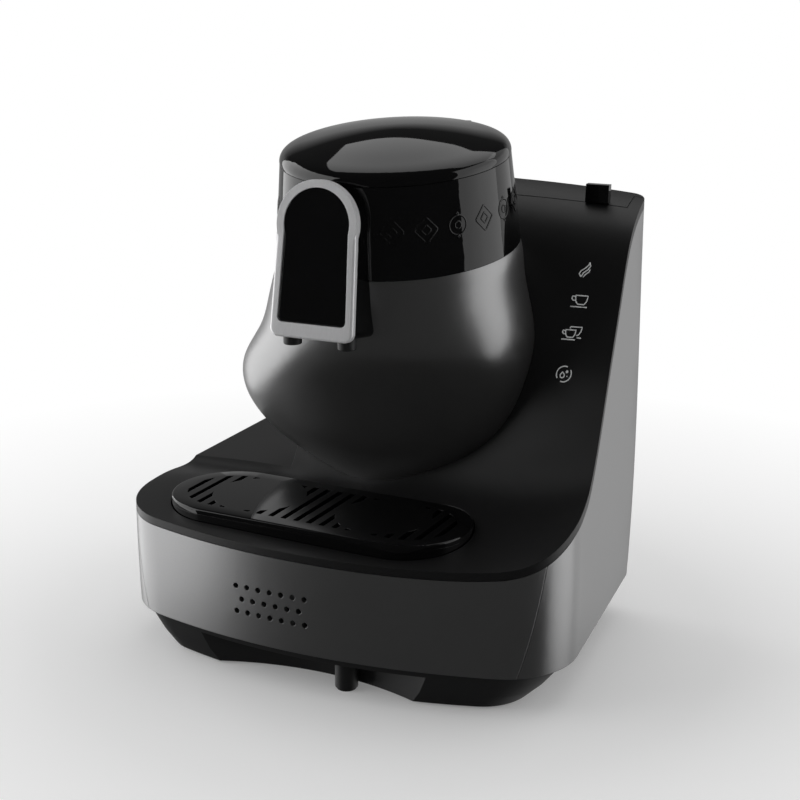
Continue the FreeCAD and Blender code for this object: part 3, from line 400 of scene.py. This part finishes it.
def stroke(points, half_width, half_height, closed=False, sides=8):
    """Vertices and faces of a rounded ribbon along flat points (u, v), bulging along w."""
    verts, faces = [], []
    count = len(points)
    for i, (u, v) in enumerate(points):
        if closed:
            before, after = points[i - 1], points[(i + 1) % count]
        else:
            before, after = points[max(i - 1, 0)], points[min(i + 1, count - 1)]
        du, dv = after[0] - before[0], after[1] - before[1]
        length = math.hypot(du, dv) or 1.0
        nu, nv = -dv / length, du / length
        for k in range(sides):
            a = 2 * math.pi * k / sides
            side = half_width * math.cos(a)
            verts.append((u + nu * side, half_height * math.sin(a), v + nv * side))
    spans = count if closed else count - 1
    for i in range(spans):
        j = (i + 1) % count
        for k in range(sides):
            m = (k + 1) % sides
            faces.append((i * sides + k, i * sides + m, j * sides + m, j * sides + k))
    if not closed:
        faces.append(tuple(reversed(range(sides))))
        faces.append(tuple((count - 1) * sides + k for k in range(sides)))
    return verts, faces


def strokes_mesh(name, parts):
    """Ribbons joined in one mesh with its faces turned outwards."""
    verts, faces = [], []
    for part_verts, part_faces in parts:
        base = len(verts)
        verts += part_verts
        faces += [tuple(i + base for i in face) for face in part_faces]
    mesh = bpy.data.meshes.new(name)
    mesh.from_pydata(verts, [], faces)
    clean = bmesh.new()
    clean.from_mesh(mesh)
    bmesh.ops.recalc_face_normals(clean, faces=clean.faces)
    clean.to_mesh(mesh)
    clean.free()
    mesh.shade_smooth()
    return mesh


def arc(cu, cv, r, start, end, steps):
    """Points of a circular arc, degrees, in the drawing plane."""
    turn = [math.radians(start + (end - start) * i / steps) for i in range(steps + 1)]
    return [(cu + r * math.cos(t), cv + r * math.sin(t)) for t in turn]


# ---------------------------------------------------------------- properties

class MakerColours(bpy.types.PropertyGroup):
    """Colours of the outer finishes"""
    metal: FloatVectorProperty(name="Metallic paint", description="Fascia, side panels and shroud",
                               default=(0.30, 0.30, 0.302), subtype="COLOR", min=0, max=1)
    satin: FloatVectorProperty(name="Satin black", description="Deck, back wall and tank lid",
                               default=(0.0075, 0.0075, 0.0078), subtype="COLOR", min=0, max=1)
    gloss: FloatVectorProperty(name="Gloss black", description="Lid, band, spout and tray",
                               default=(0.003, 0.003, 0.0032), subtype="COLOR", min=0, max=1)
    symbol: FloatVectorProperty(name="Symbols", description="Printed touch symbols",
                                default=(0.62, 0.63, 0.63), subtype="COLOR", min=0, max=1)


class BandOrnament(bpy.types.PropertyGroup):
    """Raised ornament round the gloss band"""
    count: IntProperty(name="Motifs", description="Motifs round the whole band",
                       default=23, min=3, max=60)
    height: FloatProperty(name="Height", description="Height of a motif",
                          default=0.0140, unit="LENGTH")
    width: FloatProperty(name="Width", description="Width of a motif",
                         default=0.0130, unit="LENGTH")
    line: FloatProperty(name="Line", description="Width of the raised line",
                        default=0.0011, unit="LENGTH")
    relief: FloatProperty(name="Relief", description="How far the line stands proud",
                          default=0.00032, unit="LENGTH")
    level: FloatProperty(name="Level", description="Place up the band, 0 at its foot",
                         default=0.52, min=0, max=1)
    start: FloatProperty(name="Start", description="Azimuth of the first motif",
                         default=math.radians(37.1), unit="ROTATION")


class TouchSymbols(bpy.types.PropertyGroup):
    """Printed symbols on the back wall"""
    line: FloatProperty(name="Line", description="Width of a printed line",
                        default=0.00072, unit="LENGTH")
    proud: FloatProperty(name="Thickness", description="Thickness of the print",
                         default=0.00005, unit="LENGTH")


class StudioLight(bpy.types.PropertyGroup):
    """Levels of the studio light"""
    left: FloatProperty(name="Left panel", description="Radiance of the left softbox",
                        default=1.7, min=0)
    right: FloatProperty(name="Right panel", description="Radiance of the right softbox",
                         default=1.0, min=0)
    rear: FloatProperty(name="Rear panel", description="Radiance of the right rear softbox",
                        default=0.4, min=0)
    top: FloatProperty(name="Top panel", description="Radiance of the top softbox",
                       default=0.9, min=0)
    fill: FloatProperty(name="Fill", description="Even light from all round",
                        default=0.30, min=0)


# ---------------------------------------------------------------- pieces

class MAKER_OT_housing(bpy.types.Operator):
    """Fascia, side panels, deck with back wall, base and feet"""
    bl_idname = "maker.housing"
    bl_label = "Housing"

    def execute(self, context):
        for node in ("front_fascia", "side_panel_right", "side_panel_left", "deck_shell",
                     "base_pan", "feet", "rear_cover", "tray_well"):
            smooth_skin(node)
        for node in ("base_screws", "tank_bay", "tank_socket"):
            plain_node(node)
        return {"FINISHED"}


class MAKER_OT_tower(bpy.types.Operator):
    """Shroud, gloss band, collar, brewing chamber and what holds it"""
    bl_idname = "maker.tower"
    bl_label = "Tower"

    def execute(self, context):
        for node in ("tower_shroud", "tower_band", "chamber_collar", "brew_chamber", "tower_back"):
            smooth_skin(node)
        for node in ("chamber_stand", "heater_plate", "temperature_sensor"):
            plain_node(node)
        return {"FINISHED"}


class MAKER_OT_lid(bpy.types.Operator):
    """Domed brewing lid with its seal and hinge pin"""
    bl_idname = "maker.lid"
    bl_label = "Lid"

    def execute(self, context):
        for node in ("brew_lid", "lid_seal", "lid_hinge_pin"):
            smooth_skin(node)
        return {"FINISHED"}


class MAKER_OT_spout(bpy.types.Operator):
    """Arched spout frame, face, body, nozzles and outlet valve"""
    bl_idname = "maker.spout"
    bl_label = "Spout"

    def execute(self, context):
        for node in ("spout_frame", "spout_face", "spout_body", "spout_nozzles"):
            smooth_skin(node, crease=SPOUT_CREASE)
        for node in ("outlet_duct", "outlet_valve", "valve_spring", "valve_coil"):
            plain_node(node)
        return {"FINISHED"}


class MAKER_OT_tray(bpy.types.Operator):
    """Drip pan and slotted cup grille"""
    bl_idname = "maker.tray"
    bl_label = "Drip tray"

    def execute(self, context):
        for node in ("drip_pan", "cup_grille"):
            smooth_skin(node)
        return {"FINISHED"}


class MAKER_OT_tank(bpy.types.Operator):
    """Water tank, its lid with tab, pins and valve"""
    bl_idname = "maker.tank"
    bl_label = "Water tank"

    def execute(self, context):
        for node in ("water_tank", "tank_lid", "tank_lid_tab"):
            smooth_skin(node)
        for node in ("tank_lid_pins", "tank_valve"):
            plain_node(node)
        return {"FINISHED"}


class MAKER_OT_rear(bpy.types.Operator):
    """Rear switch and cord gland, and the works inside the base"""
    bl_idname = "maker.rear"
    bl_label = "Rear and works"

    def execute(self, context):
        for node in ("switch_bezel", "power_rocker", "cord_gland"):
            smooth_skin(node)
        for node in ("pump", "feed_hose", "main_board", "speaker", "touch_board"):
            plain_node(node)
        return {"FINISHED"}


class MAKER_OT_ornament(bpy.types.Operator):
    """Raised lozenges and rings repeated round the gloss band"""
    bl_idname = "maker.ornament"
    bl_label = "Band ornament"

    def motif(self, size, kind):
        w, h = size.width / 2, size.height / 2
        line = size.line / 2
        if kind == "lozenge":
            corner = []
            points = [(0, -h), (w, 0), (0, h), (-w, 0)]
            for (u0, v0), (u1, v1) in zip(points, points[1:] + points[:1]):
                corner += [(u0 + (u1 - u0) * t, v0 + (v1 - v0) * t) for t in (0.06, 0.2, 0.4, 0.6, 0.8, 0.94)]
            inner = [(u * 0.42, v * 0.42) for u, v in corner]
            parts = [stroke(corner, line, size.relief, True), stroke(inner, line, size.relief, True)]
        else:
            ring = arc(0, 0, w * 0.80, 0, 345, 23)
            dot = arc(0, 0, w * 0.30, 0, 330, 11)
            parts = [stroke(ring, line, size.relief, True), stroke(dot, line, size.relief, True)]
            for side in (-1, 1):
                bead = arc(0, side * h * 0.86, w * 0.10, 0, 300, 5)
                parts.append(stroke(bead, line * 0.8, size.relief, True))
        return strokes_mesh("motif_" + kind, parts)

    def execute(self, context):
        size = context.scene.band_ornament
        motifs = [link("motif_" + kind, self.motif(size, kind)) for kind in ("lozenge", "ring")]
        tree = bpy.data.node_groups.new("band_ornament", "GeometryNodeTree")
        tree.interface.new_socket("Geometry", in_out="OUTPUT", socket_type="NodeSocketGeometry")
        names = {}
        sizes = (("Count", "NodeSocketInt", size.count), ("Start", "NodeSocketFloat", size.start),
                 ("Level", "NodeSocketFloat", size.level))
        for title, kind, given_value in sizes:
            names[title] = tree.interface.new_socket(title, in_out="INPUT", socket_type=kind)
            names[title].default_value = given_value
        g = Graph(tree)
        given = g.node("NodeGroupInput")
        mid_radius = (BAND_LOW[2] + BAND_HIGH[2]) / 2
        pitch = 2 * math.pi / size.count
        both = []
        for row, source in enumerate(motifs):
            half = g.value("ShaderNodeMath", {"operation": "DIVIDE"}, {0: given.outputs["Count"], 1: 2.0})
            count = g.value("ShaderNodeMath", {"operation": "CEIL" if row == 0 else "FLOOR"}, {0: half})
            first = (Val(g, given.outputs["Start"]) + pitch * row) * mid_radius
            start = g.value("ShaderNodeCombineXYZ", None, {"X": first})
            line = g.node("GeometryNodeMeshLine", None, {
                "Count": count, "Start Location": start, "Offset": (2 * pitch * mid_radius, 0.0, 0.0)})
            info = g.node("GeometryNodeObjectInfo", None, {"Object": source})
            both.append(g.node("GeometryNodeInstanceOnPoints", None, {
                "Points": line.outputs[0], "Instance": info.outputs["Geometry"]}).outputs[0])
        joined = g.node("GeometryNodeJoinGeometry")
        for row in both:
            tree.links.new(row, joined.inputs[0])
        real = g.node("GeometryNodeRealizeInstances", None, {"Geometry": joined.outputs[0]})
        at = g.node("ShaderNodeSeparateXYZ", None, {"Vector": g.node("GeometryNodeInputPosition").outputs[0]})
        along, out, up = (Val(g, at.outputs[i]) for i in range(3))
        rise = BAND_HIGH[1] - BAND_LOW[1]
        slant = math.hypot(rise, BAND_LOW[2] - BAND_HIGH[2])
        s = up / slant + Val(g, given.outputs["Level"])
        angle = along / mid_radius
        radius = s * (BAND_HIGH[2] - BAND_LOW[2]) + BAND_LOW[2] - out
        forward = radius * angle.cos()
        x = radius * angle.sin() + TOWER_X
        y = s * (BAND_HIGH[0] - BAND_LOW[0]) + BAND_LOW[0] - forward * math.cos(BAND_TILT)
        z = s * rise + BAND_LOW[1] - forward * math.sin(BAND_TILT)
        place = g.value("ShaderNodeCombineXYZ", None, {"X": x, "Y": y, "Z": z})
        wrapped = g.node("GeometryNodeSetPosition", None, {"Geometry": real.outputs[0], "Position": place})
        painted = g.node("GeometryNodeSetMaterial", None, {
            "Geometry": wrapped.outputs[0], "Material": finishes()["black_gloss"]})
        result = g.node("NodeGroupOutput")
        tree.links.new(painted.outputs[0], result.inputs[0])
        carrier = link("ornament_carrier", bpy.data.meshes.new("ornament_carrier"))
        modifier = carrier.modifiers.new("ornament", "NODES")
        modifier.node_group = tree
        for title, _, given_value in sizes:
            modifier[names[title].identifier] = given_value
        context.view_layer.update()
        mesh = bpy.data.meshes.new_from_object(carrier.evaluated_get(context.evaluated_depsgraph_get()))
        mesh.name = "band_ornament"
        carrier.modifiers.remove(modifier)
        for spare in (carrier, *motifs):
            bpy.data.objects.remove(spare)
        # motifs behind the spout are left off
        trimmed = bmesh.new()
        trimmed.from_mesh(mesh)
        hidden = [v for v in trimmed.verts if abs(v.co.x - SPOUT_X) < SPOUT_COVER and v.co.y < 0]
        bmesh.ops.delete(trimmed, geom=hidden, context="VERTS")
        trimmed.to_mesh(mesh)
        trimmed.free()
        mesh.shade_smooth()
        ready(link("band_ornament", mesh), NODE_BODY["tower_band"], "black_gloss")
        return {"FINISHED"}


class MAKER_OT_symbols(bpy.types.Operator):
    """Printed touch symbols laid on the back wall"""
    bl_idname = "maker.symbols"
    bl_label = "Touch symbols"

    def drawings(self):
        """Each symbol as lines in millimetres round its own centre."""
        steam = [
            [(-1.6, -4.4), (-2.9, -2.6), (-2.2, -0.8), (0.2, 1.2), (1.7, 3.2), (1.9, 4.8)],
            [(1.9, 4.8), (2.8, 2.4), (1.8, 0.2), (-0.4, -1.8), (-1.6, -4.4)],
            [(-0.3, -4.6), (0.8, -2.9), (2.6, -1.2), (2.9, 0.4)],
        ]
        cup = [
            [(-3.0, 3.4), (4.4, 3.4), (4.1, 0.2), (3.0, -1.9), (-0.9, -1.9), (-2.4, 0.0), (-3.0, 3.4)],
            [(-3.0, 2.6), (-4.6, 2.9), (-5.0, 1.4), (-3.8, 0.3), (-2.5, 0.5)],
            [(-4.9, -3.5), (5.0, -3.5)],
        ]
        near = [[(u * 0.84 - 1.4, v * 0.84 - 0.5) for u, v in part] for part in cup]
        far = [
            [(-1.6, 3.2), (-1.2, 4.3), (5.6, 4.3), (5.2, 1.6), (4.3, -0.4), (3.0, -0.8)],
            [(3.6, -2.2), (6.2, -2.2)],
        ]
        clean = [
            arc(0, 0, 4.5, 70, 215, 14), arc(0, 0, 4.5, 250, 395, 14),
            [(-0.9, 1.2), (-2.2, -0.6), (-1.8, -1.9), (-0.6, -2.2), (0.4, -1.6), (0.4, -0.4), (-0.9, 1.2)],
            [(1.7, 2.2), (1.1, 1.3), (1.7, 0.8), (2.3, 1.3), (1.7, 2.2)],
            [(1.9, -1.0), (2.3, -1.4)],
        ]
        return (("symbol_steam", steam), ("symbol_cup", cup),
                ("symbol_two_cups", near + far), ("symbol_clean", clean))

    def execute(self, context):
        size = context.scene.touch_symbols
        wall = bpy.data.objects["deck_shell_skin"].data
        tree = BVHTree.FromPolygons([v.co for v in wall.vertices], [tuple(p.vertices) for p in wall.polygons])
        for name, lines in self.drawings():
            spot, normal, _, _ = tree.ray_cast(Vector(SYMBOL_PLACES[name]) + TOWARDS * 0.06, -TOWARDS)
            across = Vector((1.0, 0.0, 0.0))
            across = (across - normal * across.dot(normal)).normalized()
            rise = normal.cross(across)
            parts = []
            for points in lines:
                fine = []
                for (u0, v0), (u1, v1) in zip(points, points[1:]):
                    fine += [(u0 + (u1 - u0) * t, v0 + (v1 - v0) * t) for t in (0.0, 0.5)]
                fine.append(points[-1])
                flat = [(u * 0.001, v * 0.001) for u, v in fine]
                parts.append(stroke(flat, size.line / 2, 0.001, sides=4))
            mesh = strokes_mesh(name, parts)
            for v in mesh.vertices:
                over = spot + across * v.co.x + rise * v.co.z
                hit, hit_normal, _, _ = tree.ray_cast(over + normal * 0.01, -normal)
                if hit is None:
                    raise RuntimeError(name + " misses the wall")
                if abs(v.co.y) > 0.0002:
                    lift = math.copysign(size.proud, v.co.y)
                else:
                    lift = size.proud * 0.4
                v.co = hit + hit_normal * lift
            clean = bmesh.new()
            clean.from_mesh(mesh)
            bmesh.ops.recalc_face_normals(clean, faces=clean.faces)
            clean.to_mesh(mesh)
            clean.free()
            ready(link(name, mesh), NODE_BODY["deck_shell"], "silicone", "symbol_print")
        return {"FINISHED"}


class MAKER_OT_stage(bpy.types.Operator):
    """Pale floor, soft panels and the camera"""
    bl_idname = "maker.stage"
    bl_label = "Studio"

    def panel(self, name, place, radiance):
        """Soft panel round the object; azimuth 0 is the front and 90 the right."""
        azimuth, height, distance, width, tall = place
        data = bpy.data.lights.new(name, "AREA")
        data.shape = "RECTANGLE"
        data.size, data.size_y = width, tall
        data.energy = radiance * math.pi * width * tall
        lamp = bpy.data.objects.new(name, data)
        bpy.context.scene.collection.objects.link(lamp)
        a = math.radians(azimuth)
        lamp.location = (distance * math.sin(a), -distance * math.cos(a), height)
        lamp.rotation_euler = (lamp.location - Vector((0, 0, PANEL_AIM))).to_track_quat("Z", "Y").to_euler()
        lamp.visible_camera = False

    def floor(self):
        """Pale disc that fades to white away from the object."""
        mesh = bpy.data.meshes.new("studio_floor")
        turns = [math.radians(7.5 * i) for i in range(48)]
        rim = [(FLOOR_RADIUS * math.cos(t), FLOOR_RADIUS * math.sin(t), 0.0) for t in turns]
        mesh.from_pydata([(0.0, 0.0, 0.0)] + rim, [], [(0, i + 1, (i + 1) % 48 + 1) for i in range(48)])
        floor = link("studio_floor", mesh)
        material = bpy.data.materials.new("studio_paper")
        material.use_nodes = True
        g = Graph(material.node_tree)
        g.tree.nodes.clear()
        paper = g.node("ShaderNodeBsdfDiffuse", None, {"Color": (0.85, 0.85, 0.85, 1.0)})
        seen = Val(g, g.node("ShaderNodeLightPath").outputs["Is Camera Ray"])
        lift = g.node("ShaderNodeEmission", None, {
            "Color": (1.0, 1.0, 1.0, 1.0), "Strength": seen * FLOOR_LIFT})
        near = g.node("ShaderNodeAddShader")
        g.tree.links.new(paper.outputs[0], near.inputs[0])
        g.tree.links.new(lift.outputs[0], near.inputs[1])
        white = g.node("ShaderNodeEmission", None, {"Color": (1.0, 1.0, 1.0, 1.0), "Strength": 1.0})
        reach = g.value("ShaderNodeVectorMath", {"operation": "LENGTH"}, {
            0: g.node("ShaderNodeTexCoord").outputs["Object"]}, "Value")
        fade = ((reach - FADE_FROM) * FADE_RATE).clamp() * seen
        blend = g.node("ShaderNodeMixShader", None, {"Fac": fade})
        g.tree.links.new(near.outputs[0], blend.inputs[1])
        g.tree.links.new(white.outputs[0], blend.inputs[2])
        out = g.node("ShaderNodeOutputMaterial")
        g.tree.links.new(blend.outputs[0], out.inputs["Surface"])
        floor.visible_glossy = False
        mesh.materials.append(material)

    def surroundings(self, level):
        """White to the camera, even fill for the light, dim with a pale low back in reflections."""
        world = bpy.data.worlds.new("studio")
        bpy.context.scene.world = world
        world.use_nodes = True
        g = Graph(world.node_tree)
        g.tree.nodes.clear()
        seen = g.node("ShaderNodeLightPath")
        way = g.node("ShaderNodeSeparateXYZ", None, {
            "Vector": g.node("ShaderNodeTexCoord").outputs["Generated"]})
        back, up = Val(g, way.outputs["Y"]), Val(g, way.outputs["Z"])
        behind = ((back - 0.05) * 3.0).clamp() * ((0.42 - up) * 6.0).clamp()
        mirror = (Val(g, seen.outputs["Is Glossy Ray"]) + Val(g, seen.outputs["Is Transmission Ray"])).clamp()
        straight = Val(g, seen.outputs["Is Camera Ray"])
        strength = straight + mirror * (behind * 0.30 + 0.035) + (1.0 - straight - mirror).clamp() * level
        sky = g.node("ShaderNodeBackground", None, {"Color": (1.0, 1.0, 1.0, 1.0), "Strength": strength})
        out = g.node("ShaderNodeOutputWorld")
        g.tree.links.new(sky.outputs[0], out.inputs["Surface"])

    def execute(self, context):
        light = context.scene.studio_light
        self.floor()
        self.surroundings(light.fill)
        self.panel("soft_left", SOFT_LEFT, light.left)
        self.panel("soft_right", SOFT_RIGHT, light.right)
        self.panel("soft_rear", SOFT_REAR, light.rear)
        self.panel("soft_top", SOFT_TOP, light.top)
        lens = bpy.data.cameras.new("camera")
        lens.sensor_width = SENSOR_WIDTH
        lens.lens = FOCAL_WIDTHS * SENSOR_WIDTH
        lens.clip_start, lens.clip_end = 0.05, 20.0
        camera = bpy.data.objects.new("camera", lens)
        bpy.context.scene.collection.objects.link(camera)
        camera.location = Vector(CAMERA_AIM) + TOWARDS * CAMERA_DISTANCE
        camera.rotation_euler = TOWARDS.to_track_quat("Z", "Y").to_euler()
        context.scene.camera = camera
        context.scene.view_settings.view_transform = "Standard"
        return {"FINISHED"}


class MAKER_PT_panel(bpy.types.Panel):
    """Lists the pieces of the coffee maker"""
    bl_label = "Coffee maker"
    bl_space_type = "VIEW_3D"
    bl_region_type = "UI"
    bl_category = "Coffee maker"

    def draw(self, context):
        for group in (context.scene.maker_colours, context.scene.band_ornament,
                      context.scene.touch_symbols, context.scene.studio_light):
            box = self.layout.box()
            for key in group.__annotations__:
                box.prop(group, key)
        for operator in OPERATORS:
            self.layout.operator(operator.bl_idname)


OPERATORS = (MAKER_OT_housing, MAKER_OT_tower, MAKER_OT_lid, MAKER_OT_spout, MAKER_OT_tray,
             MAKER_OT_tank, MAKER_OT_rear, MAKER_OT_ornament, MAKER_OT_symbols, MAKER_OT_stage)
GROUPS = (("maker_colours", MakerColours), ("band_ornament", BandOrnament),
          ("touch_symbols", TouchSymbols), ("studio_light", StudioLight))


def register():
    for name, group in GROUPS:
        bpy.utils.register_class(group)
        setattr(bpy.types.Scene, name, PointerProperty(type=group))
    for operator in OPERATORS:
        bpy.utils.register_class(operator)
    bpy.utils.register_class(MAKER_PT_panel)


def unregister():
    bpy.utils.unregister_class(MAKER_PT_panel)
    for operator in reversed(OPERATORS):
        bpy.utils.unregister_class(operator)
    for name, group in reversed(GROUPS):
        delattr(bpy.types.Scene, name)
        bpy.utils.unregister_class(group)


def main():
    register()
    bpy.ops.maker.housing()
    bpy.ops.maker.tower()
    bpy.ops.maker.lid()
    bpy.ops.maker.spout()
    bpy.ops.maker.tray()
    bpy.ops.maker.tank()
    bpy.ops.maker.rear()
    bpy.ops.maker.ornament()
    bpy.ops.maker.symbols()
    bpy.ops.maker.stage()


if __name__ == "__main__":
    main()
